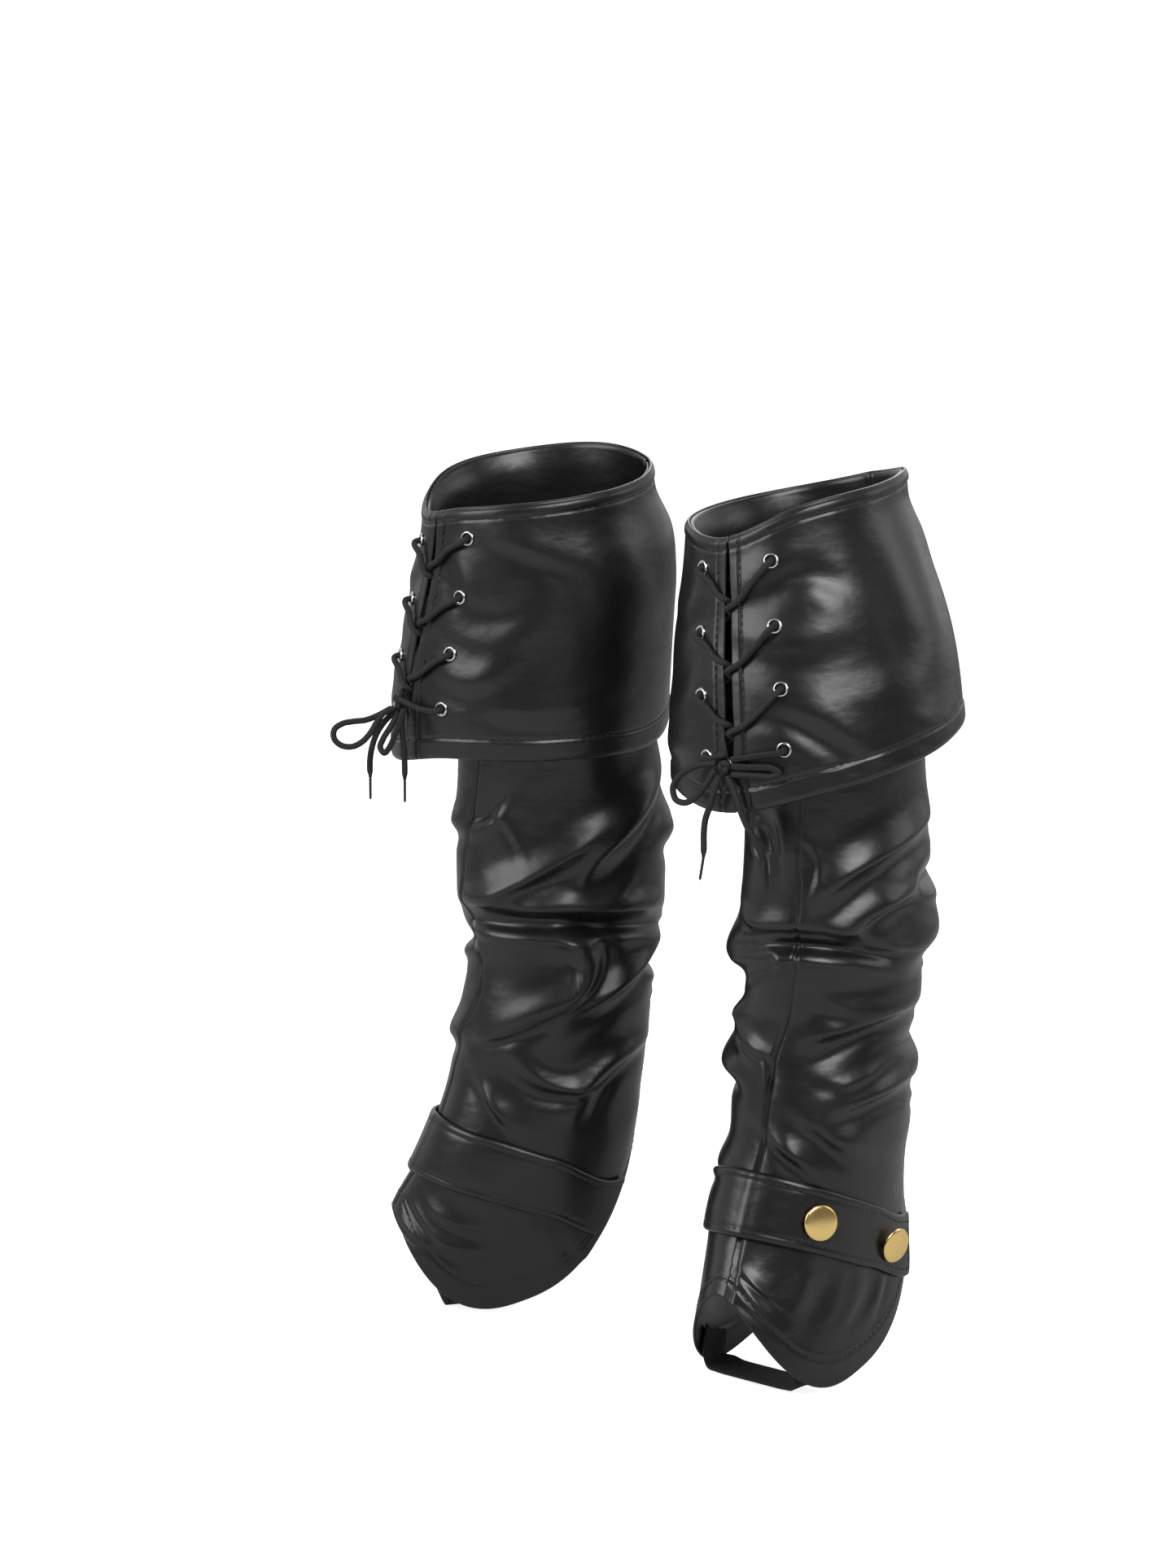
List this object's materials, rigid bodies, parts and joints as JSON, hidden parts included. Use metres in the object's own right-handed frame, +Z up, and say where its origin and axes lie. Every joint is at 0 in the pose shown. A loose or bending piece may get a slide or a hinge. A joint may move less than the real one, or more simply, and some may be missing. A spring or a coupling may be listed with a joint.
{
  "type": "boot covers",
  "caption": "Pair of tall slouchy black faux-leather boot covers with flared laced cuffs, buttoned ankle straps and under-foot elastics, in their worn pose.",
  "frame": {"origin": "midway between the two covers, level with their top edges, where the wearer's lower legs hold them; 0.484 m above the floor the wearer stands on", "axes": "+Z up along the legs, -Y the way the wearer faces, +X to the wearer's left"},
  "size_m": [0.3596, 0.272, 0.4972],
  "materials": {
    "vinyl": "glossy black faux leather",
    "elastic": "matt woven elastic",
    "lace": "matt braided cord",
    "aglet": "smooth black plastic",
    "nickel": "polished nickel",
    "gold": "polished gold plate"
  },
  "bodies": {
    "root": {"left_outer_panel": "vinyl", "left_inner_panel": "vinyl", "left_cuff": "vinyl", "left_ankle_strap": "vinyl", "left_foot_elastic": "elastic", "left_button_front": "gold", "left_button_rear": "gold", "left_eyelet_outer_1": "nickel", "left_eyelet_outer_2": "nickel", "left_eyelet_outer_3": "nickel", "left_eyelet_outer_4": "nickel", "left_eyelet_inner_1": "nickel", "left_eyelet_inner_2": "nickel", "left_eyelet_inner_3": "nickel", "left_eyelet_inner_4": "nickel", "left_lacing": "lace", "left_knot": "lace", "left_loop_a": "lace", "left_loop_b": "lace", "left_tail_a": "lace", "left_tail_b": "lace", "left_aglet_a": "aglet", "left_aglet_b": "aglet", "right_outer_panel": "vinyl", "right_inner_panel": "vinyl", "right_cuff": "vinyl", "right_ankle_strap": "vinyl", "right_foot_elastic": "elastic", "right_button_front": "gold", "right_button_rear": "gold", "right_eyelet_outer_1": "nickel", "right_eyelet_outer_2": "nickel", "right_eyelet_outer_3": "nickel", "right_eyelet_outer_4": "nickel", "right_eyelet_inner_1": "nickel", "right_eyelet_inner_2": "nickel", "right_eyelet_inner_3": "nickel", "right_eyelet_inner_4": "nickel", "right_lacing": "lace", "right_knot": "lace", "right_loop_a": "lace", "right_loop_b": "lace", "right_tail_a": "lace", "right_tail_b": "lace", "right_aglet_a": "aglet", "right_aglet_b": "aglet"}
  },
  "joints": []
}
